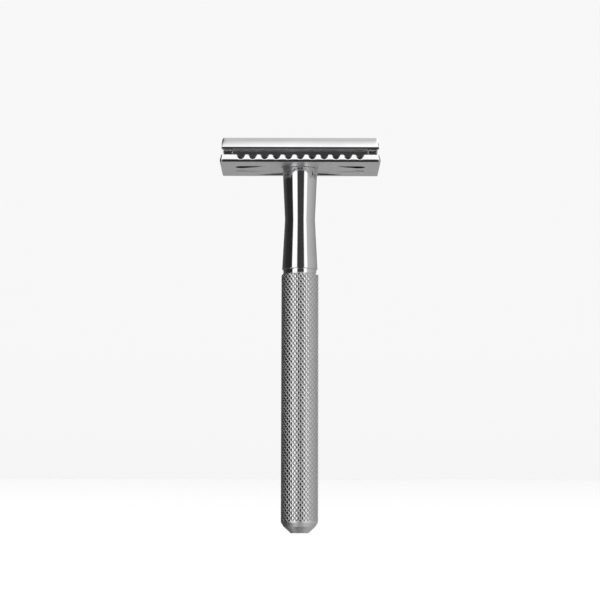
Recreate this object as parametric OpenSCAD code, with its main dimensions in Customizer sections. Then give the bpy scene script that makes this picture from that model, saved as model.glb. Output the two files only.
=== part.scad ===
/* [Handle] */
// Outside diameter of the gripped barrel
barrel_d = 10.3; // [10:0.1:12]
// Length of the gripped barrel
barrel_l = 68.4; // [55:0.1:80]
// Height of the chamfered end below the barrel
end_h = 3.3; // [3:0.1:5]
// Diameter of the flat that the razor stands on
foot_d = 4.9; // [4:0.1:6]
// Height of the groove between barrel and neck
groove_h = 1; // [0.8:0.1:1.6]
// Diameter at the bottom of the groove
groove_d = 9.3; // [9:0.1:9.6]
// Length of the polished neck above the groove
neck_l = 28.5; // [26:0.1:34]
// Diameter of the neck at its foot
neck_foot_d = 9.96; // [9.8:0.02:10]
// Diameter of the neck at its waist
waist_d = 8.46; // [8.2:0.02:9]
// Diameter of the neck under the head
neck_top_d = 9.8; // [9.6:0.1:10]

/* [Base plate] */
// Length of the base plate along the blade
plate_l = 44.1; // [43.6:0.1:45]
// Depth of the base plate over both safety bars
plate_w = 24.4; // [24.2:0.1:25.2]
// Height of the safety bars above the underside
bar_h = 2.1; // [2:0.05:2.4]
// Number of scallops in each safety bar
scallops = 11; // [7:2:11]
// Distance from one scallop to the next
scallop_pitch = 3.26; // [3.2:0.02:3.4]
// Radius of the cutter that makes the scallops
scallop_r = 1.2; // [0.8:0.05:1.3]

/* [Cap] */
// Length of the cap along the blade
cap_l = 43.3; // [43.2:0.1:43.6]
// Depth of the cap from lip to lip
cap_w = 20.8; // [20.4:0.1:21]
// Radius of the cap's convex top
cap_r = 15; // [14.5:0.1:16]
// Height of the crown of the cap above the blade's crown
crown_h = 3.3; // [3.2:0.05:3.5]

/* [Blade] */
// Length of the blade over its end tabs
blade_l = 43; // [42.8:0.1:43]
// Width of the flat blade from edge to edge
blade_w = 22; // [21.8:0.1:22]
// Length of each cutting edge
edge_l = 37.2; // [37:0.1:37.4]
// Thickness of the blade
blade_t = 0.1; // [0.08:0.01:0.12]
// Radius that the clamped blade is bent to
bend_r = 33.3; // [32:0.1:36]
// Height of the clamped cutting edges above the base plate's underside
edge_h = 3.5; // [3.4:0.05:3.6]

/* [Screw and pins] */
// Diameter of the clamping screw thread
thread_d = 5; // [5:0.1:5.2]
// Depth of thread inside the neck when clamped
thread_grip = 8.2; // [7.6:0.1:9]
// Distance between the two locating pins
pin_spacing = 24; // [23:0.5:25]
// Diameter of a locating pin
pin_d = 3.2; // [3:0.1:3.4]
// Diameter of the tie rod inside the handle
rod_d = 4; // [4:0.1:5]

/* [Hidden] */

// Fits
seat_gap = 0.03;
layer_gap = 0.04;
thread_gap = 0.03;
hole_gap = 0.15;
cut = 1;
$fn = 96;

// Levels up the razor
barrel_r = barrel_d / 2;
groove_z = end_h + barrel_l;
neck_z = groove_z + groove_h;
neck_top_z = neck_z + neck_l;
under_z = neck_top_z + seat_gap;
edge_z = under_z + edge_h;

// Handle details
plug_edge_r = 0.855;
plug_edge_z = 0.53;
plug_shoulder_r = 0.985;
plug_shoulder_z = 0.86;
tube_r = 3.6;
spigot_l = 10;
barrel_chamfer = 0.4;
seam_step = 0.02;
neck_foot_lead = 0.3;
neck_top_bevel = 0.5;
neck_top_step = 0.3;
waist_share = 0.5;
waist_blend = 3;
bore_r = thread_d / 2 + thread_gap;
bore_depth = thread_grip + 1.8;
countersink = 0.5;
rod_r = rod_d / 2;
rod_bite = 7;
rod_low_z = end_h + spigot_l - rod_bite;
rod_high_z = groove_z - spigot_l + rod_bite;

// The bent blade is an arc about an axis along X
bend_half = blade_w / 2 / bend_r * 180 / PI;
bend_z = edge_z - bend_r * cos(bend_half);
blade_top_z = bend_z + bend_r;
edge_y = bend_r * sin(bend_half);
crown_z = blade_top_z + crown_h;
pad_corner_y = 7.3;
tab_w = 13.2;
slit_w = 1.4;
slit_l = 34;
centre_hole_r = 3.1;
pin_hole_r = 2.1;

// Base plate details
floor_h = 1.3;
under_chamfer = 0.55;
bar_t = 1;
bar_lean = 0.5;
bar_round = 0.25;
bed_w = 19.2;
bed_l = 37.4;
tongue_w = 14;
tongue_l = 42.4;
corner_r = 0.8;
end_draft = 0.35;
hole_r = thread_d / 2 + hole_gap;
boss_r = 5.2;
arch_depth = 0.5;
arch_half_l = 12;
arch_w = 19.6;
scallop_depth = 0.87;
scallop_tilt = 36;
scallop_in = 0.6;
port_r = 1.75;
port_x = 16.3;
port_y = 3.1;
port_side_y = 4.8;
port_tip_x = 7.9;
port_tip_w = 0.7;
port_bevel_w = 0.95;
port_bevel_h = 0.35;
pocket_margin = 0.4;
pocket_wall = 0.9;
pin_hole_floor = 0.6;

// Cap details
lip_chamfer = 0.12;
lip_h = 0.08;
cap_corner_r = 1;
pad_drop = 0.25;
pad_gap = 0.3;
stud_top_z = crown_z - 1.6;
stud_low_z = neck_top_z - thread_grip;
stud_chamfer = 0.5;
pin_r = pin_d / 2;
pin_top_z = crown_z - 1.6;
pin_low_z = under_z + 0.8;

// Lays an outline drawn in Y and Z along X
module along_x(length) {
    rotate([90, 0, 90]) linear_extrude(height = length, center = true) children();
}

// Lays an outline drawn in X and Z along Y
module along_y(length) {
    rotate([90, 0, 0]) linear_extrude(height = length, center = true) children();
}

// Flat rectangle with rounded corners, centred
module rounded_rectangle(length, width, radius) {
    square([length - 2 * radius, width], center = true);
    square([length, width - 2 * radius], center = true);
    for (x = [-1, 1], y = [-1, 1])
        translate([x * (length / 2 - radius), y * (width / 2 - radius)]) circle(radius);
}

// Repeats a shape at the four corners of a rectangle
module both_ways(x, y) {
    for (side_x = [-1, 1], side_y = [-1, 1]) translate([side_x * x, side_y * y]) children();
}

// Chamfered end with the flat that the razor stands on, and the spigot that fills the tube
module end_plug() {
    r = barrel_r - seam_step;
    color("silver") difference() {
        rotate_extrude() polygon([
            [0, 0], [foot_d / 2, 0], [plug_edge_r * r, plug_edge_z * end_h],
            [plug_shoulder_r * r, plug_shoulder_z * end_h], [r, end_h],
            [tube_r, end_h], [tube_r, end_h + spigot_l], [0, end_h + spigot_l]
        ]);
        translate([0, 0, rod_low_z]) cylinder(r = rod_r, h = spigot_l);
    }
}

// Tube with the grip on its outside
module barrel() {
    color("gray") rotate_extrude() polygon([
        [tube_r, end_h], [barrel_r, end_h], [barrel_r, groove_z - barrel_chamfer],
        [barrel_r - barrel_chamfer, groove_z], [tube_r, groove_z]
    ]);
}

// Outline of the neck from the groove up, with an arc that blends its two cones at the waist
function neck_side() = let (
    foot_z = neck_z + neck_foot_lead,
    top_z = neck_top_z - neck_top_bevel,
    waist_z = foot_z + waist_share * (top_z - foot_z),
    foot_slope = (neck_foot_d - waist_d) / 2 / (waist_z - foot_z),
    top_slope = (neck_top_d - waist_d) / 2 / (top_z - waist_z),
    blend = [for (i = [-4 : 4]) i / 4]
) [
    [groove_d / 2, groove_z], [groove_d / 2, neck_z], [neck_foot_d / 2, foot_z],
    for (t = blend) let (slope = t < 0 ? foot_slope : top_slope)
        [waist_d / 2 + slope * waist_blend * pow(1 + abs(t), 2) / 4, waist_z + t * waist_blend],
    [neck_top_d / 2, top_z], [neck_top_d / 2 - neck_top_step, neck_top_z], [0, neck_top_z]
];

// Waisted neck with the threaded bore for the head and the spigot that fills the tube
module neck() {
    color("silver") difference() {
        rotate_extrude() polygon(concat(
            [[0, groove_z - spigot_l], [tube_r, groove_z - spigot_l], [tube_r, groove_z]], neck_side()
        ));
        translate([0, 0, neck_top_z - bore_depth]) cylinder(r = bore_r, h = bore_depth + cut);
        translate([0, 0, neck_top_z - countersink])
            cylinder(r1 = bore_r, r2 = bore_r + countersink, h = countersink);
        translate([0, 0, rod_high_z - spigot_l]) cylinder(r = rod_r, h = spigot_l);
    }
}

// Rod that draws the neck and the end plug together through the tube
module tie_rod() {
    color("darkgray") translate([0, 0, rod_low_z]) cylinder(r = rod_r, h = rod_high_z - rod_low_z);
}

// Safety bar on one side: chamfered below, leaning back in front, rounded above
module bar_section() {
    face_y = plate_w / 2 - bar_lean;
    back_y = plate_w / 2 - bar_t;
    polygon([
        [bed_w / 2, 0], [plate_w / 2 - under_chamfer, 0], [plate_w / 2, under_chamfer],
        [face_y, bar_h - bar_round], [face_y - bar_round, bar_h], [back_y, bar_h - bar_round / 2],
        [back_y - bar_lean, floor_h], [bed_w / 2, floor_h]
    ]);
    translate([face_y - bar_round, bar_h - bar_round]) circle(bar_round);
}

// Floor of the base plate between its two safety bars
module plate_section() {
    translate([-bed_w / 2, 0]) square([bed_w, floor_h]);
    for (side = [0, 1]) mirror([side, 0]) bar_section();
}

// Curved bed of this width that the blade lies on
module bed_section(width) {
    intersection() {
        translate([0, bend_z - under_z]) circle(bend_r - blade_t / 2 - layer_gap, $fn = 360);
        translate([-width / 2, floor_h - cut]) square([width, bend_r]);
    }
}

// Outline of one lather port: a wide round end that narrows towards the middle
module port_outline() {
    translate([port_x, port_y]) circle(port_r);
    polygon([
        [port_tip_x, port_side_y], [port_x, port_side_y],
        [port_x - port_r / 2, port_y - port_r / 2], [port_tip_x, port_side_y - port_tip_w]
    ]);
}

// Lather path: a port through the floor, bevelled on its outer side, and a pocket in the bed above it
module lather_port() {
    side_y = port_y + port_r;
    inner_y = side_y - port_bevel_w;
    lead = cut * port_bevel_w / port_bevel_h;
    intersection() {
        translate([0, 0, under_z - cut]) linear_extrude(height = bend_r) port_outline();
        translate([0, 0, under_z]) along_x(2 * plate_l) polygon([
            [0, -cut], [side_y + lead, -cut], [inner_y, port_bevel_h], [inner_y, bend_r], [0, bend_r]
        ]);
    }
    translate([port_tip_x - pocket_margin, port_y, under_z + floor_h])
        cube([port_x + port_r - port_tip_x, bed_w / 2 - pocket_wall - port_y, bend_r]);
}

// Row of round cutters that slope down towards the outside of the bar
module scallop_cutters() {
    axis_z = under_z + bar_h - scallop_depth + scallop_r / cos(scallop_tilt);
    length = scallop_in + bar_t + 2 * cut;
    for (i = [0 : scallops - 1])
        translate([(i - (scallops - 1) / 2) * scallop_pitch, plate_w / 2 - bar_t, axis_z])
            rotate([90 - scallop_tilt, 0, 0]) translate([0, 0, scallop_in - length])
                cylinder(r = scallop_r, h = length);
}

// Closed-comb base plate: two scalloped bars, the blade bed with a tongue under each end tab of the blade,
// four lather ports, blind pin holes and the seat for the neck
module base_plate() {
    color("lightgray") difference() {
        intersection() {
            union() {
                translate([0, 0, under_z]) along_x(plate_l) plate_section();
                translate([0, 0, under_z]) along_x(bed_l) bed_section(bed_w);
                translate([0, 0, under_z]) along_x(tongue_l) bed_section(tongue_w);
            }
            translate([0, 0, under_z - cut]) linear_extrude(height = bend_r)
                rounded_rectangle(plate_l, plate_w, corner_r);
            along_y(plate_w + cut) polygon([
                [-plate_l / 2, under_z], [plate_l / 2, under_z],
                [plate_l / 2, under_z + under_chamfer], [plate_l / 2 - end_draft, under_z + bar_h],
                [plate_l / 2 - end_draft, crown_z], [-plate_l / 2 + end_draft, crown_z],
                [-plate_l / 2 + end_draft, under_z + bar_h], [-plate_l / 2, under_z + under_chamfer]
            ]);
        }
        for (side = [0, 1]) mirror([0, side, 0]) scallop_cutters();
        for (x = [0, 1], y = [0, 1]) mirror([x, 0, 0]) mirror([0, y, 0]) lather_port();
        intersection() {
            translate([0, 0, under_z + arch_depth - arch_r()]) along_y(arch_w) circle(arch_r(), $fn = 360);
            difference() {
                translate([-arch_half_l, -arch_w / 2, under_z - cut])
                    cube([2 * arch_half_l, arch_w, cut + arch_depth]);
                cylinder(r = boss_r, h = crown_z);
            }
        }
        cylinder(r = hole_r, h = crown_z);
        for (x = [-1, 1]) translate([x * pin_spacing / 2, 0, under_z + pin_hole_floor])
            cylinder(r = pin_r + hole_gap, h = crown_z);
    }
}

// Radius of the shallow arch under the base plate
function arch_r() = (pow(arch_half_l, 2) + pow(arch_depth, 2)) / (2 * arch_depth);

// Double-edge blade, bent as it is when clamped
module blade() {
    color("lightsteelblue") difference() {
        translate([0, 0, bend_z]) along_x(blade_l) intersection() {
            difference() {
                circle(bend_r + blade_t / 2, $fn = 360);
                circle(bend_r - blade_t / 2, $fn = 360);
            }
            scale(2) polygon([
                [0, 0], [-edge_y, bend_r * cos(bend_half)], [edge_y, bend_r * cos(bend_half)]
            ]);
        }
        both_ways(edge_l / 2 + blade_l / 4, tab_w / 2 + blade_w / 4)
            translate([0, 0, bend_z]) linear_extrude(height = 2 * bend_r)
                square([blade_l / 2, blade_w / 2], center = true);
        translate([0, 0, bend_z]) linear_extrude(height = 2 * bend_r) {
            square([slit_l, slit_w], center = true);
            circle(centre_hole_r);
            for (x = [-1, 1]) translate([x * slit_l / 2, 0]) circle(slit_w / 2);
            for (x = [-1, 1]) translate([x * pin_spacing / 2, 0]) circle(pin_hole_r);
        }
    }
}

// Convex cap above an underside of this radius, with chamfered lips
module cap_section(inner_r) {
    difference() {
        intersection() {
            translate([0, crown_z - cap_r]) circle(cap_r, $fn = 360);
            polygon([
                [-cap_w / 2, crown_z], [-cap_w / 2, lip_z() + lip_h], [-cap_w / 2 + lip_chamfer, lip_z()],
                [cap_w / 2 - lip_chamfer, lip_z()], [cap_w / 2, lip_z() + lip_h], [cap_w / 2, crown_z]
            ]);
        }
        translate([0, bend_z]) circle(inner_r, $fn = 360);
    }
}

// Lowest level of the cap's lips, just above the blade
function lip_z() = bend_z + sqrt(pow(bend_r + blade_t / 2 + layer_gap, 2) - pow(cap_w / 2 - lip_chamfer, 2));

// Convex cap with corner pads beyond the cutting edges, bored for the screw and pins
module cap() {
    pad_y = cap_w / 2 - lip_chamfer;
    pad_x = edge_l / 2 + pad_gap;
    color("whitesmoke") difference() {
        union() {
            intersection() {
                along_x(cap_l) cap_section(bend_r + blade_t / 2 + layer_gap);
                translate([0, 0, crown_z - cap_r])
                    along_y(cap_w) rounded_rectangle(cap_l, 2 * cap_r, cap_corner_r);
            }
            both_ways((pad_x + cap_l / 2) / 2, (pad_corner_y + pad_y) / 2)
                translate([0, 0, lip_z() - pad_drop]) linear_extrude(height = pad_drop + lip_h)
                    square([cap_l / 2 - pad_x, pad_y - pad_corner_y], center = true);
        }
        cylinder(r = thread_d / 2, h = stud_top_z);
        for (x = [-1, 1]) translate([x * pin_spacing / 2, 0, 0]) cylinder(r = pin_r, h = pin_top_z);
    }
}

// Threaded stud fixed in the cap
module clamp_stud() {
    color("silver") union() {
        translate([0, 0, stud_low_z])
            cylinder(r1 = thread_d / 2 - stud_chamfer, r2 = thread_d / 2, h = stud_chamfer);
        translate([0, 0, stud_low_z + stud_chamfer])
            cylinder(r = thread_d / 2, h = stud_top_z - stud_low_z - stud_chamfer);
    }
}

// Two pins fixed in the cap that hold the blade square to the base plate
module locating_pins() {
    color("silver") for (x = [-1, 1]) translate([x * pin_spacing / 2, 0, 0]) {
        translate([0, 0, pin_low_z]) cylinder(r1 = pin_r - stud_chamfer, r2 = pin_r, h = stud_chamfer);
        translate([0, 0, pin_low_z + stud_chamfer])
            cylinder(r = pin_r, h = pin_top_z - pin_low_z - stud_chamfer);
    }
}

end_plug();
barrel();
neck();
tie_rod();
base_plate();
blade();
cap();
clamp_stud();
locating_pins();
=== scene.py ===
"""Safety razor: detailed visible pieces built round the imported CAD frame, in metres, +Z up."""
import math

import bmesh
import bpy
from mathutils import Matrix, Vector


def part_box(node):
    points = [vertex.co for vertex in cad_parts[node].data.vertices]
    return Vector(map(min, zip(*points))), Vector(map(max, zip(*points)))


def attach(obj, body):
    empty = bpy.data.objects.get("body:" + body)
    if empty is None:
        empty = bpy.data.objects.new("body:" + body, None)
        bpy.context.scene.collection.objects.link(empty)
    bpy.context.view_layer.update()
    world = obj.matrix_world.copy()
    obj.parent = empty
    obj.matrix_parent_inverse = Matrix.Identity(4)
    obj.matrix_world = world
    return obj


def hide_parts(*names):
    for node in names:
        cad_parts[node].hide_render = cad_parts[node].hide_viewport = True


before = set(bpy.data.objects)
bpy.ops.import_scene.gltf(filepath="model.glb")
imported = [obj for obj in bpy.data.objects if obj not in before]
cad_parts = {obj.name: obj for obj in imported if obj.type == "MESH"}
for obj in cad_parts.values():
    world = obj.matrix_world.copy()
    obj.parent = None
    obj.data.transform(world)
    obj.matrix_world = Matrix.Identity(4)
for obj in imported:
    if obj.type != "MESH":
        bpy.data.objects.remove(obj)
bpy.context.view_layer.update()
MM = 0.001

# ---------------------------------------------------------------- sizes from the frame
barrel_lo, barrel_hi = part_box("barrel")
neck_lo, neck_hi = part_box("neck")
_, plug_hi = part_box("end_plug")
rod_lo, rod_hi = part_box("tie_rod")
plate_lo, plate_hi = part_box("base_plate")
_, blade_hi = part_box("blade")
_, cap_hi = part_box("cap")
stud_lo, stud_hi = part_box("clamp_stud")
pins_lo, pins_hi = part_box("locating_pins")

BARREL_R = barrel_hi.x
UNDER_Z = plate_lo.z
PLATE_HALF_L = plate_hi.x
PLATE_HALF_W = plate_hi.y
STUD_R = stud_hi.x
PIN_R = pins_hi.y
PIN_X = pins_hi.x - PIN_R
ROD_R = rod_hi.x

# ---------------------------------------------------------------- sizes of details
# Handle: the tube's inside, the groove under the neck, the waisted neck and its bore.
TUBE_R = 3.6 * MM
GROOVE_R = 4.65 * MM
GROOVE_H = 1.0 * MM
NECK_TOP_R = 4.9 * MM
WAIST_R = 4.23 * MM
BORE_R = STUD_R + 0.03 * MM
BARREL_CHAMFER = 0.42 * MM
# Knurl: grooves of each hand, their pitch along the axis, where they start, the mesh lines across one
# cell as shares of it, and the groove's depth at the first three of them.
KNURL_STARTS = 21
KNURL_PITCH = 1.429 * MM
KNURL_TURN = math.radians(-86.6)
KNURL_PHASE = 0.573
KNURL_MARKS = (0, 0.12, 0.17, 0.5, 0.83, 0.88)
KNURL_DEPTHS = (0.1 * MM, 0.02 * MM, 0)
# Blade, and the radius that it is bent to.
BEND_R = 33.3 * MM
BLADE_T = 0.1 * MM
BLADE_L = 43 * MM
BLADE_W = 22 * MM
EDGE_L = 37.2 * MM
BEND_Z = blade_hi.z - BLADE_T / 2 - BEND_R
LAYER_GAP = 0.04 * MM
# Base plate: the floor between its bars, the bed and its tongues, its rounded corners and ends,
# the boss round the neck and the room round the stud and the pins.
FLOOR_H = 1.3 * MM
BED_HALF_W = 9.6 * MM
BED_HALF_L = 18.7 * MM
TONGUE_HALF_W = 7 * MM
TONGUE_HALF_L = 21.2 * MM
TONGUE_DROP = 0.02 * MM
CORNER_R = 0.8 * MM
END_EDGE_R = 0.12 * MM
BOSS_R = 5.2 * MM
HOLE_GAP = 0.15 * MM
# Scallops of the safety bars: how many, their pitch and radius, and the axis of the cut.
SCALLOPS = 11
SCALLOP_PITCH = 3.26 * MM
SCALLOP_R = 1.2 * MM
SCALLOP_TILT = math.radians(36)
SCALLOP_Y = PLATE_HALF_W - 1.0 * MM
SCALLOP_Z = 1.23 * MM + SCALLOP_R / math.cos(SCALLOP_TILT)
# Cap: the radius of its outside, the rounding of its ends, and its lip.
CAP_R = 15 * MM
CROWN_ROUND_R = 0.6 * MM
CAP_EDGE_R = 0.25 * MM
LIP_CHAMFER = 0.12 * MM
LIP_Z = BEND_Z + math.sqrt((BEND_R + BLADE_T / 2 + LAYER_GAP) ** 2 - (cap_hi.y - LIP_CHAMFER) ** 2)
# Thread of the stud and the tie rod, and the gap round the stud and the pins where the cap holds them.
THREAD_PITCH = 0.8 * MM
THREAD_DEPTH = 0.45 * MM
SEAT_GAP = 0.001 * MM
# Scale of the noise that draws the fine lines on each finish.
POLISHED_GRAIN = 9000.0
MACHINED_GRAIN = 12000.0
SATIN_GRAIN = 14000.0


# ---------------------------------------------------------------- mesh helpers
def rounded(corners, steps=6):
    """Closed outline through corners (a, b, radius), each one rounded by an arc of its radius."""
    out = []
    for i, (a, b, radius) in enumerate(corners):
        here = Vector((a, b))
        if radius == 0:
            out.append(here)
            continue
        before = (Vector(corners[i - 1][:2]) - here).normalized()
        after = (Vector(corners[(i + 1) % len(corners)][:2]) - here).normalized()
        half = before.angle(after) / 2
        middle = here + (before + after).normalized() * radius / math.sin(half)
        reach = radius / math.tan(half)
        start = here + before * reach - middle
        end = here + after * reach - middle
        turn = math.atan2(start.x * end.y - start.y * end.x, start.dot(end))
        for k in range(steps + 1):
            c, s = math.cos(turn * k / steps), math.sin(turn * k / steps)
            out.append(middle + Vector((start.x * c - start.y * s, start.x * s + start.y * c)))
    return out


def finish_mesh(name, bm, sharp_deg=50):
    """Object from a bmesh, with outward faces and smooth shading that turns sharp past an angle."""
    bmesh.ops.remove_doubles(bm, verts=bm.verts, dist=1e-8)
    bmesh.ops.recalc_face_normals(bm, faces=bm.faces)
    mesh = bpy.data.meshes.new(name)
    bm.to_mesh(mesh)
    bm.free()
    mesh.shade_smooth()
    mesh.set_sharp_from_angle(angle=math.radians(sharp_deg))
    obj = bpy.data.objects.new(name, mesh)
    bpy.context.scene.collection.objects.link(obj)
    return obj


def even_normals(obj):
    """Adds area-weighted normals, so that flats reflect as flats beside their rounded edges."""
    modifier = obj.modifiers.new("even_normals", "WEIGHTED_NORMAL")
    modifier.weight = 60
    modifier.keep_sharp = True
    return obj


def skin(bm, rings):
    """Quads between neighbouring rings of vertices."""
    for one, two in zip(rings, rings[1:]):
        for i in range(len(one)):
            j = (i + 1) % len(one)
            bm.faces.new((one[i], one[j], two[j], two[i]))


def circle(bm, r, z, segments):
    """Ring of new vertices round the Z axis."""
    angles = [2 * math.pi * k / segments for k in range(segments)]
    return [bm.verts.new((r * math.cos(t), r * math.sin(t), z)) for t in angles]


def lathe(name, outline, segments=224):
    """Turned piece from an outline of (radius, z) that starts and ends on the axis."""
    bm = bmesh.new()
    skin(bm, [circle(bm, r, z, segments) for r, z in outline])
    bmesh.ops.dissolve_degenerate(bm, edges=bm.edges, dist=1e-8)
    return finish_mesh(name, bm)


def sweep_x(name, stations):
    """Solid from closed outlines: stations is a list of lists of (x, y, z), all of one length."""
    bm = bmesh.new()
    rings = [[bm.verts.new(p) for p in station] for station in stations]
    skin(bm, rings)
    bmesh.ops.triangulate(bm, faces=[bm.faces.new(rings[0]), bm.faces.new(rings[-1])])
    return finish_mesh(name, bm)


def boolean(target, cutter, operation):
    """Applies an exact boolean to the target's mesh and removes the cutter."""
    modifier = target.modifiers.new("cut", "BOOLEAN")
    modifier.operation = operation
    modifier.solver = "EXACT"
    modifier.object = cutter
    graph = bpy.context.evaluated_depsgraph_get()
    made = bpy.data.meshes.new_from_object(target.evaluated_get(graph), depsgraph=graph)
    target.modifiers.remove(modifier)
    old = target.data
    target.data = made
    bpy.data.meshes.remove(old)
    bpy.data.objects.remove(cutter)
    return target


def after_cuts(obj):
    """Closes any slit that the booleans left, and shades the finished piece."""
    bm = bmesh.new()
    bm.from_mesh(obj.data)
    bmesh.ops.holes_fill(bm, edges=[e for e in bm.edges if e.is_boundary], sides=6)
    bm.to_mesh(obj.data)
    bm.free()
    obj.data.shade_smooth()
    obj.data.set_sharp_from_angle(angle=math.radians(40))
    return even_normals(obj)


def join(name, pieces):
    """One object from several, with its materials left empty."""
    bm = bmesh.new()
    for piece in pieces:
        bm.from_mesh(piece.data)
        bpy.data.objects.remove(piece)
    return finish_mesh(name, bm)


def ease(t):
    return t * t * (3 - 2 * t)


def clamp(share):
    return min(max(share, 0), 1)


def round_in(distance, radius):
    """How far a rounded edge of this radius falls back at a distance from where it starts."""
    t = min(max(distance, 0), radius)
    return radius - math.sqrt(radius * radius - t * t)


def round_near(end, radius):
    """How far a rounded edge of this radius falls back at a distance from the end itself."""
    return round_in(radius - end, radius) if end < radius else 0


def end_stations(half_length, radius, inner, steps=7):
    """Places along an axis that are dense over both rounded ends, with the inner ones between them."""
    ends = [half_length - radius + radius * math.sin(math.pi / 2 * k / steps) for k in range(steps + 1)]
    return sorted([-x for x in ends] + [x for x in inner if abs(x) < ends[0]] + ends)


def spread(low, high, count):
    return [low + (high - low) * k / (count - 1) for k in range(count)]


# ---------------------------------------------------------------- handle
def build_end_plug():
    """Plug with two cone faces over a flat foot, and a spigot that the tie rod screws into."""
    r = plug_hi.x
    foot_r = 2.45 * MM
    top = barrel_lo.z
    outline = rounded([
        (0, 0, 0), (foot_r, 0, 0.25 * MM),
        (0.855 * r, 0.53 * top, 0.35 * MM), (0.985 * r, 0.86 * top, 0.6 * MM),
        (r, top, 0), (TUBE_R, top, 0), (TUBE_R, plug_hi.z, 0.2 * MM), (ROD_R, plug_hi.z, 0),
        (ROD_R, rod_lo.z, 0), (0, rod_lo.z, 0),
    ])
    return lathe("end_plug_body", outline)


def build_neck():
    """Waisted neck over a groove, with the stud's bore above and a spigot in the barrel below."""
    foot_z = barrel_hi.z + GROOVE_H
    seat_z = barrel_hi.z + 0.01 * MM
    top = neck_hi.z
    low = neck_lo.z
    bevel = 0.5 * MM
    bore_z = top - 10 * MM
    waist_round = 9 * MM
    outline = [Vector((0, bore_z))] + rounded([
        (BORE_R, bore_z, 0), (BORE_R, top - bevel, 0.1 * MM), (BORE_R + bevel, top, 0.1 * MM),
        (NECK_TOP_R, top, 0.3 * MM),
        (WAIST_R, (foot_z + top) / 2, waist_round), (neck_hi.x, foot_z + 0.28 * MM, 0.06 * MM),
        (GROOVE_R + 0.05 * MM, foot_z, 0.06 * MM), (GROOVE_R, foot_z - 0.12 * MM, 0.08 * MM),
        (GROOVE_R, seat_z, 0), (TUBE_R, seat_z, 0),
        (TUBE_R, low, 0.2 * MM), (ROD_R, low, 0), (ROD_R, rod_hi.z, 0), (0, rod_hi.z, 0),
    ], steps=8)
    return lathe("neck_body", outline)


def knurl_depth(u, v):
    """Depth of the diamond knurl at a point, where the grooves of both hands lie at whole u and v."""
    deepest = 0
    for across in (u, v):
        share = across - math.floor(across)
        share = min(share, 1 - share)
        for k in range(len(KNURL_DEPTHS) - 1):
            if KNURL_MARKS[k] <= share < KNURL_MARKS[k + 1]:
                part = (share - KNURL_MARKS[k]) / (KNURL_MARKS[k + 1] - KNURL_MARKS[k])
                depth = KNURL_DEPTHS[k] + (KNURL_DEPTHS[k + 1] - KNURL_DEPTHS[k]) * part
                deepest = max(deepest, depth)
    return deepest


def trim(bm, level, outward, keep=False):
    """Cuts a mesh square at a level; what lies beyond it goes, unless it is kept."""
    bmesh.ops.bisect_plane(
        bm, geom=[*bm.verts, *bm.edges, *bm.faces], dist=1e-9,
        plane_co=(0, 0, level), plane_no=(0, 0, outward), clear_outer=not keep,
    )


def open_rim(bm, level):
    """The boundary edges at a level."""
    return [e for e in bm.edges if e.is_boundary and abs(sum(v.co.z for v in e.verts) / 2 - level) < 1e-6]


def draw_in(bm, level, radius):
    """Extrudes the open rim at a level towards the axis."""
    made = bmesh.ops.extrude_edge_only(bm, edges=open_rim(bm, level))["geom"]
    for v in made:
        if isinstance(v, bmesh.types.BMVert):
            v.co.xy = v.co.xy.normalized() * radius


def build_barrel():
    """Tube whose outside is a mesh laid along the knurl's own grooves, so that every edge is crisp."""
    low, high = barrel_lo.z, barrel_hi.z
    cells = len(KNURL_MARKS)
    around = KNURL_STARTS * cells
    bm = bmesh.new()
    grid = {}

    def vertex(i, j):
        """Lattice vertex at step i of the right-hand grooves and j of the left-hand ones."""
        i, j = i % around, j + i // around * around
        if (i, j) not in grid:
            u = i // cells + KNURL_MARKS[i % cells]
            v = j // cells + KNURL_MARKS[j % cells]
            turn = (u - v) * math.pi / KNURL_STARTS + KNURL_TURN
            z = low + ((u + v) / 2 + KNURL_PHASE) * KNURL_PITCH
            grid[i, j] = bm.verts.new((BARREL_R * math.cos(turn), BARREL_R * math.sin(turn), z))
        return grid[i, j]

    rows = math.ceil((high - low) / KNURL_PITCH * 2) + 6
    for i in range(around):
        start = (-i // cells - 3) * cells
        for j in range(start, start + rows * cells):
            bm.faces.new((vertex(i, j), vertex(i + 1, j), vertex(i + 1, j + 1), vertex(i, j + 1)))
    trim(bm, low, -1)
    trim(bm, high, 1)
    trim(bm, high - BARREL_CHAMFER, 1, keep=True)
    for vert in bm.verts:
        turn = (math.atan2(vert.co.y, vert.co.x) - KNURL_TURN) * KNURL_STARTS / math.pi
        climb = 2 * ((vert.co.z - low) / KNURL_PITCH - KNURL_PHASE)
        radius = BARREL_R - knurl_depth((climb + turn) / 2, (climb - turn) / 2)
        cone = BARREL_R - max(0, vert.co.z - high + BARREL_CHAMFER)
        vert.co.xy = vert.co.xy.normalized() * min(radius, cone)
    draw_in(bm, low, TUBE_R)
    draw_in(bm, high, TUBE_R)
    bmesh.ops.bridge_loops(bm, edges=open_rim(bm, low) + open_rim(bm, high))
    return even_normals(finish_mesh("barrel_knurled_tube", bm))


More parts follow.
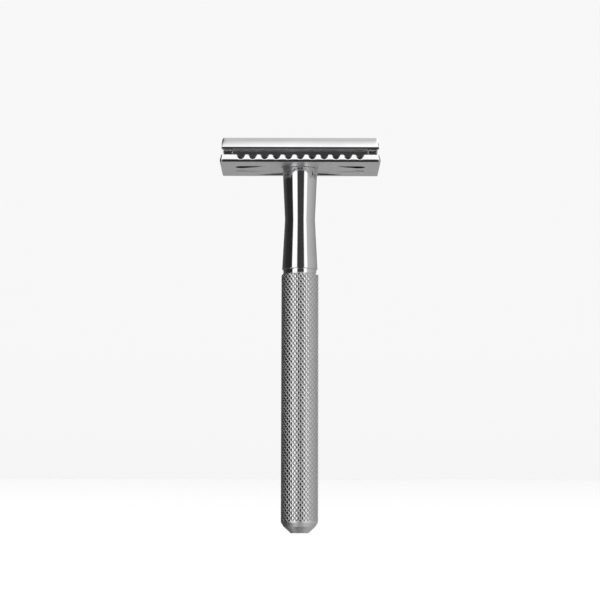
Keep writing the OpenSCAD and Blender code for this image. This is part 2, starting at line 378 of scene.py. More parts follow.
def thread_skin(low, high, crest, segments=48):
    """Right-hand thread between two levels, open at both ends, from its (share of pitch, share of depth)."""
    profile = ((0, 0), (0.1, 0), (0.45, 1), (0.6, 1), (0.95, 0))
    bm = bmesh.new()
    grid = {}
    steps = len(profile)

    def vertex(i, j):
        """Vertex at segment i round the axis and step j up the profile."""
        i, j = i % segments, j + i // segments * steps
        if (i, j) not in grid:
            share, level = profile[j % steps]
            z = low + (j // steps + share + i / segments) * THREAD_PITCH
            turn = 2 * math.pi * i / segments
            radius = crest - THREAD_DEPTH * level
            grid[i, j] = bm.verts.new((radius * math.cos(turn), radius * math.sin(turn), z))
        return grid[i, j]

    turns = math.ceil((high - low) / THREAD_PITCH) + 2
    for i in range(segments):
        for j in range(-2 * steps, turns * steps):
            bm.faces.new((vertex(i, j), vertex(i + 1, j), vertex(i + 1, j + 1), vertex(i, j + 1)))
    trim(bm, low, -1)
    trim(bm, high, 1)
    return bm


def add_mesh(bm, other):
    """Adds another bmesh to this one and frees it."""
    mesh = bpy.data.meshes.new("added")
    other.to_mesh(mesh)
    other.free()
    bm.from_mesh(mesh)
    bpy.data.meshes.remove(mesh)


def cap_rims(bm, *levels):
    """Closes the open rims at these levels with flat faces."""
    for level in levels:
        bmesh.ops.contextual_create(bm, geom=open_rim(bm, level))


def threaded_rod(name, low, high, radius, threads, lead):
    """Rod with a thread over each (low, high) in threads, plain between them, and a taper at its ends."""
    taper = 0.8
    bm = bmesh.new()
    for start, end in threads:
        add_mesh(bm, thread_skin(start, end, radius))
    for vert in bm.verts:
        near = min(vert.co.z - low, high - vert.co.z)
        cone = radius - max(0, lead - near) * taper
        if vert.co.xy.length > cone:
            vert.co.xy = vert.co.xy.normalized() * cone
    ends = [z for pair in threads for z in pair]
    for one, two in zip(ends[1:-1:2], ends[2:-1:2]):
        bmesh.ops.bridge_loops(bm, edges=open_rim(bm, one) + open_rim(bm, two))
    cap_rims(bm, low, high)
    return finish_mesh(name, bm, sharp_deg=35)


def build_tie_rod():
    """Rod with a thread at each end, for the plug and the neck."""
    bite, lead = 6.8 * MM, 0.4 * MM
    low, high = rod_lo.z, rod_hi.z
    return threaded_rod("tie_rod_steel", low, high, ROD_R, [(low, low + bite), (high - bite, high)], lead)


def build_stud():
    lead = 0.5 * MM
    low, high = stud_lo.z, stud_hi.z
    return threaded_rod("clamp_stud_screw", low, high, STUD_R, [(low, high)], lead)


def build_pins():
    """Two plain pins with bevelled tips."""
    pins = []
    for side in (-1, 1):
        outline = rounded([
            (0, pins_lo.z, 0), (0.68 * PIN_R, pins_lo.z, 0.12 * MM), (PIN_R, pins_lo.z + 0.5 * MM, 0.2 * MM),
            (PIN_R, pins_hi.z, 0), (0, pins_hi.z, 0),
        ])
        pin = lathe("pin", outline, segments=96)
        pin.data.transform(Matrix.Translation((side * PIN_X, 0, 0)))
        pins.append(pin)
    return join("locating_pins_steel", pins)


# ---------------------------------------------------------------- head
def inset(points, distance):
    """Closed outline moved inwards by a distance."""
    area = sum(a.x * b.y - a.y * b.x for a, b in zip(points, points[1:] + points[:1]))
    out = []
    for i, here in enumerate(points):
        along = points[(i + 1) % len(points)] - points[i - 1]
        if along.length > 0:
            inward = Vector((-along.y, along.x)).normalized() * math.copysign(distance, area)
            here = here + inward
        out.append(here)
    return out


def bed_height(y):
    """Height of the bed's curved top above the plate's underside."""
    return BEND_Z + math.sqrt((BEND_R - BLADE_T / 2 - LAYER_GAP) ** 2 - y * y) - UNDER_Z


def scallop(x, y, z):
    """Moves a point of the safety bar down onto the scallop that passes it, if it stands above it."""
    nearest = round(x / SCALLOP_PITCH)
    away = abs(x - nearest * SCALLOP_PITCH)
    if abs(nearest) > SCALLOPS // 2 or away >= SCALLOP_R:
        return y, z
    reach = math.sqrt(SCALLOP_R ** 2 - away ** 2)
    cos_tilt, sin_tilt = math.cos(SCALLOP_TILT), math.sin(SCALLOP_TILT)
    over = (z - SCALLOP_Z) * cos_tilt + (y - SCALLOP_Y) * sin_tilt + reach
    blend = 0.16 * MM
    near = max(blend - abs(over), 0) / blend
    over = max(over, 0) + near * near * blend / 4
    return y - over * sin_tilt, z - over * cos_tilt


def plate_half():
    """Right half of the base plate's outline as (y, z) above the underside, without the bed."""
    w = PLATE_HALF_W
    points = rounded([
        (w - 4 * MM, FLOOR_H, 0), (w - 1.55 * MM, FLOOR_H, 0.25 * MM), (w - 1.05 * MM, 1.97 * MM, 0.15 * MM),
        (w - 0.58 * MM, 2.1 * MM, 0.25 * MM), (w, 0.55 * MM, 0.1 * MM), (w - 0.55 * MM, 0, 0.1 * MM),
        (w - 4 * MM, 0, 0),
    ], steps=5)[1:-1]
    bar_z, longest = 0.4 * MM, 0.09 * MM
    fine = []
    for one, two in zip(points, points[1:]):
        on_bar = min(one.x, two.x) > BED_HALF_W and max(one.y, two.y) > bar_z
        count = math.ceil((two - one).length / longest) if on_bar else 1
        fine += [one.lerp(two, k / count) for k in range(count)]
    return fine + [points[-1]]


def plate_station(x, half):
    """Base plate outline at x: scalloped along the bars, rounded at its ends, which lean in a little."""
    end = PLATE_HALF_L - abs(x)
    drop = round_near(end, CORNER_R)
    bar_y = BED_HALF_W + 0.4 * MM
    right = []
    for y, z in half:
        if y > bar_y:
            y, z = scallop(x, y, z)
        y -= drop * clamp((y - BED_HALF_W) / (PLATE_HALF_W - BED_HALF_W))
        right.append(Vector((y, z)))
    left = [Vector((-p.x, p.y)) for p in reversed(right)]
    ring = inset(right + left, round_near(end, END_EDGE_R))
    lean_l, lean_low, lean_h = 2 * MM, 0.55 * MM, 1.55 * MM
    lean = 0.35 * MM * ease(clamp((abs(x) - PLATE_HALF_L + lean_l) / lean_l))
    out = []
    for p in ring:
        share = clamp((p.y - lean_low) / lean_h)
        out.append((x - math.copysign(lean * share, x), p.x, UNDER_Z + p.y))
    return out


def build_bed(half_l, half_w, lower):
    """Curved bed that the blade lies on, with its long top edges and its ends rounded."""
    edge, sunk = 0.5 * MM, 0.4 * MM
    arc = [(y, bed_height(y) - lower, 0) for y in spread(-half_w + 2 * edge, half_w - 2 * edge, 31)]
    low, side = FLOOR_H - sunk - lower, bed_height(half_w) - lower
    outline = rounded([
        *arc, (half_w, side, edge), (half_w, low, 0), (-half_w, low, 0), (-half_w, side, edge),
    ])
    stations = []
    for x in end_stations(half_l, END_EDGE_R, spread(-half_l, half_l, 9)):
        back = round_in(abs(x) - half_l + END_EDGE_R, END_EDGE_R)
        stations.append([(x, p.x, UNDER_Z + p.y) for p in inset(outline, back)])
    return sweep_x("bed", stations)


def scallop_stations():
    """Places along the safety bars that follow each scallop's curve and the rounded ends."""
    last = SCALLOPS // 2
    just_inside = SCALLOP_R * 0.999
    inner = []
    for i in range(-last, last + 1):
        inner += [i * SCALLOP_PITCH + just_inside * math.sin(math.radians(t)) for t in range(-90, 91, 9)]
        if i < last:
            inner.append((i + 0.5) * SCALLOP_PITCH)
    ends = [18 * MM, 19.4 * MM, 20.1 * MM, 20.5 * MM, 20.9 * MM]
    for radius, turns in ((CORNER_R, range(0, 82, 9)), (END_EDGE_R, range(10, 91, 16))):
        ends += [PLATE_HALF_L - radius + radius * math.sin(math.radians(t)) for t in turns]
    return sorted(set(inner + ends + [-x for x in ends]))


def prism(name, outline, levels):
    """Upright solid from an (x, y) outline and its (z, outward offset) levels."""
    bm = bmesh.new()
    rings = [[bm.verts.new((p.x, p.y, z)) for p in inset(outline, -grow)] for z, grow in levels]
    skin(bm, rings)
    bm.faces.new(rings[0])
    bm.faces.new(rings[-1])
    return finish_mesh(name, bm)


def ring_points(x, y, radius, count=64):
    """Round outline about (x, y)."""
    angles = [2 * math.pi * k / count for k in range(count)]
    return [Vector((x + radius * math.cos(t), y + radius * math.sin(t))) for t in angles]


def port_outline(side_x, side_y):
    """Outline of a lather port: round at its outer end, narrowing to a tip towards the middle."""
    port_r = 1.75 * MM
    middle = Vector((16.3 * MM, 3.1 * MM))
    arc = [middle + port_r * Vector((math.cos(t), math.sin(t))) for t in spread(-2.3, 1.65, 26)]
    tip = [Vector((x * MM, y * MM)) for x, y in ((8.8, 4.77), (8.05, 4.68), (7.9, 4.5), (8.1, 4.3))]
    return [Vector((p.x * side_x, p.y * side_y)) for p in arc + tip]


def lather_port(side_x, side_y, top):
    """Cutter for one lather port, with a chamfered rim and a broad bevel along its outer side."""
    lip, outer_y, bevel_w, bevel_h = 0.1 * MM, 4.85 * MM, 0.95 * MM, 0.35 * MM
    levels = [(UNDER_Z - lip, 2 * lip), (UNDER_Z + lip, 0), (top, 0)]
    port = prism("port", port_outline(side_x, side_y), levels)
    inner_y, below = outer_y - bevel_w, 2 * lip
    kept = [
        (inner_y, bevel_h), (inner_y, top), (outer_y + 3 * MM, top), (outer_y + 3 * MM, -below),
        (outer_y + bevel_w * below / bevel_h, -below),
    ]
    from_x, to_x = 6 * MM, 20 * MM
    ends = [[(side_x * x, side_y * y, UNDER_Z + z) for y, z in kept] for x in (from_x, to_x)]
    return boolean(port, sweep_x("kept", ends), "DIFFERENCE")


def build_arch():
    """Cutter for the shallow arch under the base plate, with bevelled sides, round the boss in the middle."""
    half_l, depth, half_w, below = 12 * MM, 0.5 * MM, 9.8 * MM, 0.5 * MM
    radius = (half_l ** 2 + depth ** 2) / (2 * depth)
    stations = []
    for x in spread(-half_l, half_l, 41):
        z = math.sqrt(radius ** 2 - x * x) - radius + depth
        right = [(half_w + below, -below), (half_w - z, z)]
        ring = right + [(-y, level) for y, level in reversed(right)]
        stations.append([(x, y, UNDER_Z + level) for y, level in ring])
    boss_levels = [(UNDER_Z - 2 * MM, 0), (UNDER_Z + 2 * MM, 0)]
    boss = prism("boss", ring_points(0, 0, BOSS_R, 128), boss_levels)
    return boolean(sweep_x("arch", stations), boss, "DIFFERENCE")


def build_base_plate():
    """Plate with its bed, the arch under it, and the holes, lather ports and pockets through it."""
    half = plate_half()
    plate = sweep_x("base_plate_scalloped", [plate_station(x, half) for x in scallop_stations()])
    tongues = build_bed(TONGUE_HALF_L, TONGUE_HALF_W, TONGUE_DROP)
    bed = boolean(build_bed(BED_HALF_L, BED_HALF_W, 0), tongues, "UNION")
    boolean(plate, bed, "UNION")
    boolean(plate, build_arch(), "DIFFERENCE")
    top = cap_hi.z + MM
    rim, pin_floor, pocket_round = 0.3 * MM, 0.6 * MM, 0.5 * MM
    pocket_floor = UNDER_Z + FLOOR_H + 0.01 * MM
    stud_levels = [(UNDER_Z - rim, 2 * rim), (UNDER_Z + rim, 0), (top, 0)]
    holes = [prism("stud_hole", ring_points(0, 0, STUD_R + HOLE_GAP, 96), stud_levels)]
    pockets = []
    for side_x in (-1, 1):
        outline = ring_points(side_x * PIN_X, 0, PIN_R + HOLE_GAP)
        holes.append(prism("pin_hole", outline, [(UNDER_Z + pin_floor, 0), (top, 0)]))
        for side_y in (-1, 1):
            holes.append(lather_port(side_x, side_y, top))
            corners = [(7.5, 3.1), (17.7, 3.1), (17.7, 8.7), (7.5, 8.7)]
            outline = rounded([(side_x * x * MM, side_y * y * MM, pocket_round) for x, y in corners])
            pockets.append(prism("pocket", outline, [(pocket_floor, 0), (top, 0)]))
    boolean(plate, join("holes", holes), "DIFFERENCE")
    boolean(plate, join("pockets", pockets), "DIFFERENCE")
    return after_cuts(plate)


def cap_half():
    """Right half of the cap's outline as (y, z), from the crown round to the middle of its underside."""
    half_w, crown = cap_hi.y, cap_hi.z
    lip_y = half_w - LIP_CHAMFER

    def outer(y):
        return crown - CAP_R + math.sqrt(CAP_R ** 2 - y * y)

    def under(y):
        return BEND_Z + math.sqrt((BEND_R + BLADE_T / 2 + LAYER_GAP) ** 2 - y * y)

    lip_h, lip_r, inner_y = 0.08 * MM, 0.03 * MM, lip_y - 0.2 * MM
    points = rounded([(y, outer(y), 0) for y in spread(0, half_w - 0.25 * MM, 34)] + [
        (half_w, outer(half_w), 0.1 * MM), (half_w, LIP_Z + lip_h, lip_r), (lip_y, LIP_Z, lip_r),
        (inner_y, under(inner_y), 0),
    ], steps=4)
    return points + [Vector((y, under(y))) for y in spread(lip_y - 0.6 * MM, 0, 24)]


def cap_station(x, half):
    """Cap outline at x, from its right half, with rounded ends."""
    end = cap_hi.x - abs(x)
    drop = round_near(end, CROWN_ROUND_R)
    side = round_near(end, CAP_EDGE_R)
    side_share, narrow_share = 0.1, 0.3
    shoulder = LIP_Z + 0.8 * MM
    ring = half + [Vector((-p.x, p.y)) for p in reversed(half[1:-1])]
    out = []
    for p in inset(ring, side * side_share):
        up = clamp((p.y - shoulder) / (cap_hi.z - shoulder))
        narrow = 1 - narrow_share * drop * ease(up) / cap_hi.y
        out.append((x, p.x * narrow, p.y - drop * math.sqrt(up)))
    return out


def build_cap():
    """Curved cap with a pad at each corner that reaches down past the blade, bored for stud and pins."""
    half = cap_half()
    half_l = cap_hi.x
    ends = []
    for radius, turns in ((CROWN_ROUND_R, range(0, 32, 8)), (CAP_EDGE_R, range(0, 91, 10))):
        ends += [half_l - radius + radius * math.sin(math.radians(t)) for t in turns]
    places = sorted(spread(-20 * MM, 20 * MM, 41) + ends + [-x for x in ends])
    cap = sweep_x("cap_convex", [cap_station(x, half) for x in places])
    pads = []
    near_x, near_y = EDGE_L / 2 + 0.3 * MM, 7.3 * MM
    far_x, far_y = half_l - 0.3 * MM, cap_hi.y - 0.36 * MM
    corners = [(near_x, near_y), (far_x, near_y), (far_x, far_y), (near_x, far_y)]
    pad_low, pad_top, pad_round, bevel = LIP_Z - 0.25 * MM, LIP_Z + 0.86 * MM, 0.2 * MM, 0.04 * MM
    levels = [(pad_low, -bevel), (pad_low + bevel, 0), (pad_top, 0)]
    for side_x in (-1, 1):
        for side_y in (-1, 1):
            outline = rounded([(side_x * x, side_y * y, pad_round) for x, y in corners])
            pads.append(prism("pad", outline, levels))
    boolean(cap, join("pads", pads), "UNION")
    bores = [prism("bore", ring_points(0, 0, STUD_R + SEAT_GAP, 96), [(UNDER_Z, 0), (stud_hi.z, 0)])]
    for side in (-1, 1):
        outline = ring_points(side * PIN_X, 0, PIN_R + SEAT_GAP)
        bores.append(prism("bore", outline, [(UNDER_Z, 0), (pins_hi.z, 0)]))
    boolean(cap, join("bores", bores), "DIFFERENCE")
    return after_cuts(cap)


def blade_outline():
    """Outline of the flat blade: two long edges, notched corners and a tab at each end."""
    edge_x, tab_x, tab_y, edge_y = EDGE_L / 2, BLADE_L / 2, 6.6 * MM, BLADE_W / 2
    tab_r, notch_r, edge_r = 0.5 * MM, 0.35 * MM, 0.1 * MM
    return rounded([
        (tab_x, -tab_y, tab_r), (tab_x, tab_y, tab_r), (edge_x, tab_y, notch_r), (edge_x, edge_y, edge_r),
        (-edge_x, edge_y, edge_r), (-edge_x, tab_y, notch_r), (-tab_x, tab_y, tab_r),
        (-tab_x, -tab_y, tab_r), (-edge_x, -tab_y, notch_r), (-edge_x, -edge_y, edge_r),
        (edge_x, -edge_y, edge_r), (edge_x, -tab_y, notch_r),
    ], steps=5)


def blade_slot():
    """Outline of the slot: a slit that runs through the screw's hole and the two pin holes."""
    slit, end_x, pin_hole_r, stud_hole_r = 0.7 * MM, 17 * MM, 2.1 * MM, 3.1 * MM
    quarter = spread(0, math.pi / 2, 7)
    top = [Vector((end_x + slit * math.cos(t), slit * math.sin(t))) for t in quarter]
    for x, radius in ((PIN_X, pin_hole_r), (0, stud_hole_r), (-PIN_X, pin_hole_r)):
        start = math.asin(slit / radius)
        angles = spread(start, math.pi - start, 25)
        top += [Vector((x + radius * math.cos(t), radius * math.sin(t))) for t in angles]
    top += [Vector((-end_x - slit * math.sin(t), slit * math.cos(t))) for t in quarter]
    return top + [Vector((p.x, -p.y)) for p in reversed(top[1:-1])]


def build_blade():
    """Blade cut from thin strip, honed along both edges and bent over the base plate's bed."""
    bm = bmesh.new()
    for outline in (blade_outline(), blade_slot()):
        verts = [bm.verts.new((p.x, p.y, 0)) for p in outline]
        for one, two in zip(verts, verts[1:] + verts[:1]):
            bm.edges.new((one, two))
    bmesh.ops.triangle_fill(bm, use_beauty=True, edges=bm.edges)
    honed, edge_share = 0.85 * MM, 0.06
    levels = spread(-BLADE_W / 2 + honed, BLADE_W / 2 - honed, 41)
    levels += [side * (BLADE_W / 2 - honed * share) for side in (-1, 1) for share in (0.33, 0.66)]
    for y in levels:
        bmesh.ops.bisect_plane(
            bm, geom=[*bm.verts, *bm.edges, *bm.faces], dist=1e-9, plane_co=(0, y, 0), plane_no=(0, 1, 0)
        )
    faces = bm.faces[:]
    made = bmesh.ops.extrude_face_region(bm, geom=faces, use_keep_orig=True)["geom"]
    raised = {v for v in made if isinstance(v, bmesh.types.BMVert)}
    for v in bm.verts:
        away = BLADE_W / 2 - abs(v.co.y)
        half_t = BLADE_T / 2 * min(1, edge_share + (1 - edge_share) * away / honed)
        radius = BEND_R + (half_t if v in raised else -half_t)
        turn = v.co.y / BEND_R
        v.co = (v.co.x, radius * math.sin(turn), BEND_Z + radius * math.cos(turn))
    return finish_mesh("razor_blade", bm, sharp_deg=4)


# ---------------------------------------------------------------- materials
def node(tree, kind, inputs=(), **settings):
    """New node with its settings and inputs: an input is a value, or the output socket that feeds it."""
    made = tree.nodes.new(kind)
    for key, value in settings.items():
        setattr(made, key, value)
    for key, value in dict(inputs).items():
        if isinstance(value, bpy.types.NodeSocket):
            tree.links.new(value, made.inputs[key])
        else:
            made.inputs[key].default_value = value
    return made


def calc(tree, operation, *values):
    return node(tree, "ShaderNodeMath", enumerate(values), operation=operation).outputs[0]


def remap(tree, value, from_low, from_high, to_low, to_high, smooth=False):
    """The value's place between two levels, carried over to two others and held inside them."""
    inputs = {
        "Value": value, "From Min": from_low, "From Max": from_high, "To Min": to_low, "To Max": to_high,
    }
    kind = "SMOOTHSTEP" if smooth else "LINEAR"
    return node(tree, "ShaderNodeMapRange", inputs, interpolation_type=kind).outputs["Result"]


def mix(tree, share, one, two):
    """Colour between two others."""
    return node(tree, "ShaderNodeMix", {0: share, 6: one, 7: two}, data_type="RGBA").outputs[2]


def noise(tree, vector, scale, detail=3.0, roughness=0.5):
    inputs = {"Vector": vector, "Scale": scale, "Detail": detail, "Roughness": roughness}
    return node(tree, "ShaderNodeTexNoise", inputs).outputs["Fac"]


def radial(tree, place):
    """Distance from the razor's axis."""
    flat = node(tree, "ShaderNodeVectorMath", {0: place, 1: (1, 1, 0)}, operation="MULTIPLY").outputs[0]
    return node(tree, "ShaderNodeVectorMath", {0: flat}, operation="LENGTH").outputs["Value"]


def turned_grain(tree, place):
    """Coordinates in which noise becomes fine rings round the Z axis, as a lathe tool leaves them."""
    parts = node(tree, "ShaderNodeSeparateXYZ", {"Vector": place}).outputs
    length = radial(tree, place)
    turn_scale = 0.0004
    turn = calc(tree, "MULTIPLY", calc(tree, "ARCTAN2", parts["Y"], parts["X"]), turn_scale)
    return node(tree, "ShaderNodeCombineXYZ", {"X": length, "Y": turn, "Z": parts["Z"]}).outputs[0]


def drawn_grain(tree, place):
    """Coordinates in which noise becomes fine lines along X, as polishing along the head leaves them."""
    return node(tree, "ShaderNodeMapping", {"Vector": place, "Scale": (0.03, 1.0, 1.0)}).outputs[0]


def metal(name, colour, rough, grain, grain_scale, grain_depth, wear=0.25, smudge=0.03, satin=0.0, recess=0.0,
          cut=0.0):
    """Bare or plated metal: fine directional grain, smudges in its gloss, brighter worn edges and,
    where they are given, a duller underside, an unpolished recess between the safety bars and rougher
    knurl grooves, whose colour is darkened there as painted shade.
    """
    material = bpy.data.materials.new(name)
    material.use_nodes = True
    tree = material.node_tree
    shader = tree.nodes["Principled BSDF"]
    shader.inputs["Metallic"].default_value = 1.0
    place = node(tree, "ShaderNodeTexCoord").outputs["Object"]
    lines = noise(tree, grain(tree, place), grain_scale, 4.0, 0.6)
    cloud = noise(tree, place, 170.0, 3.0, 0.55)
    specks = noise(tree, place, 2600.0, 2.0, 0.5)
    surface = node(tree, "ShaderNodeNewGeometry").outputs
    edge = remap(tree, surface["Pointiness"], 0.51, 0.6, 0.0, 1.0)
    smooth_part = remap(tree, cloud, 0.35, 0.7, rough, rough + smudge)
    lined = calc(tree, "MULTIPLY_ADD", lines, smudge, smooth_part)
    worn = calc(tree, "MULTIPLY_ADD", edge, wear * 0.2, lined)
    roughness = calc(tree, "MULTIPLY_ADD", specks, smudge * 0.5, worn)
    if satin:
        facing = node(tree, "ShaderNodeSeparateXYZ", {"Vector": surface["Normal"]}).outputs["Z"]
        below = remap(tree, facing, -0.85, -0.95, 0.0, 1.0)
        roughness = calc(tree, "MULTIPLY_ADD", below, satin, roughness)
    if recess:
        parts = node(tree, "ShaderNodeSeparateXYZ", {"Vector": place}).outputs
        bar_y, low_z = 10.2 * MM, UNDER_Z + 0.8 * MM
        inside = remap(tree, calc(tree, "ABSOLUTE", parts["Y"]), bar_y, bar_y + 0.3 * MM, 1.0, 0.0)
        above = remap(tree, parts["Z"], low_z, low_z + 0.2 * MM, 0.0, 1.0)
        roughness = calc(tree, "MULTIPLY_ADD", calc(tree, "MULTIPLY", inside, above), recess, roughness)
    if cut:
        rim, wall = 0.008 * MM, 0.03 * MM
        deep = remap(tree, radial(tree, place), BARREL_R - rim, BARREL_R - wall, 0.0, 1.0)
        height = node(tree, "ShaderNodeSeparateXYZ", {"Vector": place}).outputs["Z"]
        chamfer_z = barrel_hi.z - BARREL_CHAMFER
        along = remap(tree, height, barrel_hi.z - 1.2 * BARREL_CHAMFER, chamfer_z, 1.0, 0.0)
        groove = calc(tree, "MULTIPLY", deep, along)
        roughness = calc(tree, "MULTIPLY_ADD", groove, cut, roughness)
    tree.links.new(roughness, shader.inputs["Roughness"])

    # The second share darkens the colour in the knurl's grooves: painted shade.
    stain_share, groove_shade_share = 0.93, 0.76
    darker = tuple(c * stain_share for c in colour)
    brighter = tuple(c + (1 - c) * wear for c in colour)
    tint = remap(tree, cloud, 0.3, 0.7, 0.0, 1.0)
    mixed = mix(tree, edge, mix(tree, tint, (*darker, 1), (*colour, 1)), (*brighter, 1))
    # Painted shade: the colour is darkened in the knurl's grooves.
    if cut:
        groove_shade_colour = tuple(c * groove_shade_share for c in colour)
        mixed = mix(tree, groove, mixed, (*groove_shade_colour, 1))
    tree.links.new(mixed, shader.inputs["Base Color"])

    inputs = {"Height": lines, "Strength": 0.35, "Distance": grain_depth}
    tree.links.new(node(tree, "ShaderNodeBump", inputs).outputs[0], shader.inputs["Normal"])
    return material


def build_materials():
    """One material for each finish, by the record's slot or the piece."""
    return {
        "head": metal("chrome_head", (0.83, 0.83, 0.84), 0.05, drawn_grain, POLISHED_GRAIN, 1.2e-6),
        "plate": metal(
            "chrome_base_plate", (0.82, 0.82, 0.83), 0.07, drawn_grain, POLISHED_GRAIN, 2e-6,
            satin=0.42, recess=0.05,
        ),
        "neck": metal("chrome_neck", (0.83, 0.83, 0.84), 0.035, turned_grain, POLISHED_GRAIN, 1e-6),
        "knurled_grip": metal(
            "chrome_knurl", (0.78, 0.78, 0.79), 0.09, turned_grain, POLISHED_GRAIN, 2e-6, wear=0.2, cut=0.36,
        ),
        "end_plug": metal(
            "satin_end", (0.88, 0.87, 0.87), 0.32, turned_grain, SATIN_GRAIN, 8e-6, smudge=0.08,
        ),
        "blade": metal(
            "blade_steel", (0.56, 0.57, 0.59), 0.3, drawn_grain, MACHINED_GRAIN, 4e-6, smudge=0.08,
        ),
        "inner_steel": metal(
            "machined_steel", (0.55, 0.55, 0.56), 0.26, turned_grain, MACHINED_GRAIN, 7e-6, smudge=0.1,
        ),
    }


# ---------------------------------------------------------------- light, floor and camera
def grey(level):
    return (level, level, level, 1)


def ramp(tree, value, stops):
    """Colour ramp over 0 to 1 through (place, grey level) stops."""
    made = node(tree, "ShaderNodeValToRGB", {"Fac": value})
    elements = made.color_ramp.elements
    while len(elements) > 1:
        elements.remove(elements[0])
    for k, (place, level) in enumerate(stops):
        element = elements[0] if k == 0 else elements.new(place)
        element.position = place
        element.color = grey(level)
    return made.outputs["Color"]


def sectors(tree, compass, levels, soft):
    """Grey level round the compass from (start angle, level there, level at its far end), with soft edges."""
    stops = []
    for k, (start, level, _) in enumerate(levels):
        if k:
            stops.append(((start - soft + 180) / 360, levels[k - 1][2]))
        stops.append(((start + soft + 180) / 360, level))
    return ramp(tree, compass, stops)


def build_world():
    """Studio that the metal reflects: bright panels to the left, the right and overhead, a dim room
    between them, and the floor below. Sectors are in degrees round the razor, with 0 in front of it.
    """
    world = bpy.data.worlds.new("studio")
    bpy.context.scene.world = world
    world.use_nodes = True
    tree = world.node_tree
    way = node(tree, "ShaderNodeTexCoord").outputs["Generated"]
    parts = node(tree, "ShaderNodeSeparateXYZ", {"Vector": way}).outputs
    back = calc(tree, "MULTIPLY", parts["Y"], -1.0)
    compass = calc(tree, "MULTIPLY_ADD", calc(tree, "ARCTAN2", parts["X"], back), 1 / (2 * math.pi), 0.5)
    height = calc(tree, "DEGREES", calc(tree, "ARCSINE", parts["Z"]))
    # In front, what lies higher than 16 to 19 degrees is turned by 14 degrees against what lies lower.
    front = sectors(tree, compass, [(-180, 0, 0), (-75, 1, 1), (75, 0, 0)], 4)
    aside = calc(tree, "MULTIPLY", front, remap(tree, height, 16.0, 19.0, 0.0, 14 / 360, smooth=True))
    bright = 1.3
    middle = sectors(tree, calc(tree, "ADD", compass, aside), [
        (-180, 0.62, 0.62), (-175, 0.12, 0.03), (-100, 0.024, 0.024), (-53, bright, bright),
        (-20, 0.05, 0.045), (27, bright, bright), (48, 0.58, 0.28), (155, bright, bright), (174, 0.62, 0.62),
    ], 2)
    # The overhead panel starts at about the same height all round, and fades in more slowly behind.
    behind = sectors(tree, compass, [(-180, 1, 1), (-135, 0, 0), (135, 1, 1)], 15)
    low_edge = calc(tree, "MULTIPLY_ADD", behind, -2.0, 42.0)
    high_edge = calc(tree, "MULTIPLY_ADD", behind, 32.0, 52.0)
    over = remap(tree, height, low_edge, high_edge, 0.0, 1.0, smooth=True)
    upper = mix(tree, over, middle, grey(bright))
    # Behind, the floor starts just under the horizon. Elsewhere the room goes on 50 degrees further down.
    around = sectors(tree, compass, [(-180, 0, 0), (-160, 1, 1), (150, 0, 0)], 8)
    lifted = calc(tree, "MULTIPLY_ADD", around, 50.0, height)
    under = remap(tree, lifted, -3.0, -6.0, 0.0, 1.0, smooth=True)
    floor_light = ramp(tree, remap(tree, height, -90.0, 0.0, 0.0, 1.0), [
        (0.19, 0.018), (0.24, 0.44), (0.8, 0.47), (0.9, 0.54), (1, 0.56),
    ])
    background = tree.nodes["Background"]
    tree.links.new(mix(tree, under, upper, floor_light), background.inputs["Color"])


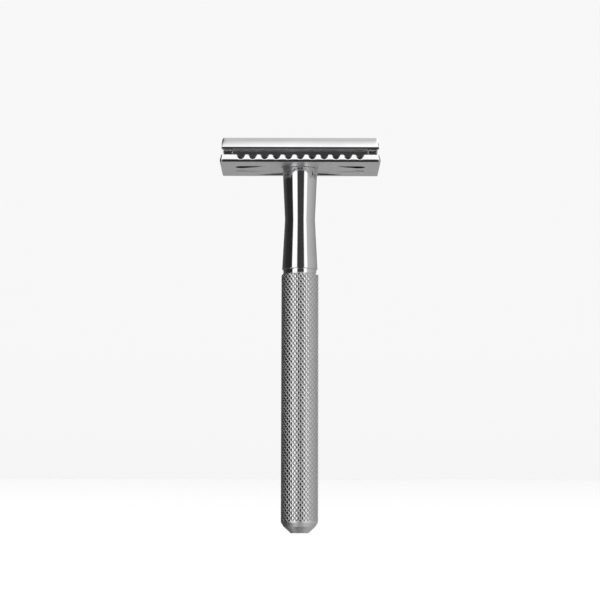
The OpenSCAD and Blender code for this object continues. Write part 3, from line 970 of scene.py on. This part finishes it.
def build_stage():
    """Pale floor that curves up into a backdrop far behind; both glow as painted light, the floor most near
    the middle and the backdrop a little dimmer toward its foot.
    """
    flat_r, rim_r, rim_z = 0.6, 1.4, 0.041
    dome_r, top_r, segments = 1.45, 1e-4, 96
    bm = bmesh.new()
    rings = []
    for r in [0.01, 0.05, 0.2, 0.4] + spread(flat_r, rim_r, 12):
        rise = rim_z * ease(clamp((r - flat_r) / (rim_r - flat_r)))
        rings.append(circle(bm, r, rise, segments))
    skin(bm, rings)
    bm.faces.new(rings[0])
    floor = finish_mesh("studio_floor", bm)
    bm = bmesh.new()
    rings = []
    for k in range(25):
        tilt = math.radians(-12 + 102 * k / 24)
        rings.append(circle(bm, max(dome_r * math.cos(tilt), top_r), dome_r * math.sin(tilt), segments))
    skin(bm, rings)
    dome = finish_mesh("studio_backdrop", bm)
    # Glow of each: the floor's fades outwards from the middle, a painted pool of light that also washes out
    # its shadows; the backdrop's is a little dimmer near its foot, painted shade.
    for obj, level, axis, stops in (
        (floor, 0.85, "LENGTH", [(0, 0.45), (0.45, 0.35), (1, 0.24)]),
        (dome, 0.0, "Z", [(0, 0.912), (0.05, 0.92), (0.12, 0.935), (1, 0.94)]),
    ):
        material = bpy.data.materials.new(obj.name)
        material.use_nodes = True
        tree = material.node_tree
        shader = tree.nodes["Principled BSDF"]
        shader.inputs["Base Color"].default_value = grey(level)
        shader.inputs["Roughness"].default_value = 1.0
        shader.inputs["Specular IOR Level"].default_value = 0.0
        shader.inputs["Emission Strength"].default_value = 1.0
        spot = node(tree, "ShaderNodeTexCoord").outputs["Object"]
        if axis == "Z":
            reach = node(tree, "ShaderNodeSeparateXYZ", {"Vector": spot}).outputs["Z"]
        else:
            reach = node(tree, "ShaderNodeVectorMath", {0: spot}, operation="LENGTH").outputs["Value"]
        share = remap(tree, reach, 0.0, rim_r, 0.0, 1.0)
        tree.links.new(ramp(tree, share, stops), shader.inputs["Emission Color"])
        obj.data.materials.append(material)
        obj.visible_glossy = False
    dome.visible_diffuse = False
    dome.visible_shadow = False


def build_camera():
    """Long lens close to the floor, tilted up a little at the head."""
    data = bpy.data.cameras.new("camera")
    data.sensor_width = 36.0
    data.lens = 122.73
    data.shift_y = 0.04
    data.clip_start, data.clip_end = 0.01, 10.0
    camera = bpy.data.objects.new("camera", data)
    bpy.context.scene.collection.objects.link(camera)
    camera.location = (0.14 * MM, -565 * MM, 4 * MM)
    camera.rotation_euler = (math.radians(90 + 5.435), math.radians(-0.13), 0)
    bpy.context.scene.camera = camera


# ---------------------------------------------------------------- assembly
def place(piece, nodes, body, slot, material):
    """Gives a piece its material and stands it in for CAD nodes on their body."""
    piece.data.materials.clear()
    piece.data.materials.append(material)
    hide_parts(*nodes)
    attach(piece, body)


finishes = build_materials()
build_world()
build_stage()
build_camera()
place(build_end_plug(), ["end_plug"], "handle", "end_plug", finishes["end_plug"])
place(build_barrel(), ["barrel"], "handle", "knurled_grip", finishes["knurled_grip"])
place(build_neck(), ["neck"], "handle", "neck", finishes["neck"])
place(build_tie_rod(), ["tie_rod"], "handle", "inner_steel", finishes["inner_steel"])
place(build_base_plate(), ["base_plate"], "base", "head", finishes["plate"])
place(build_blade(), ["blade"], "blade", "blade", finishes["blade"])
place(build_cap(), ["cap"], "cap", "head", finishes["head"])
place(build_stud(), ["clamp_stud"], "cap", "inner_steel", finishes["inner_steel"])
place(build_pins(), ["locating_pins"], "cap", "inner_steel", finishes["inner_steel"])
scene = bpy.context.scene
scene.view_settings.view_transform = "Standard"
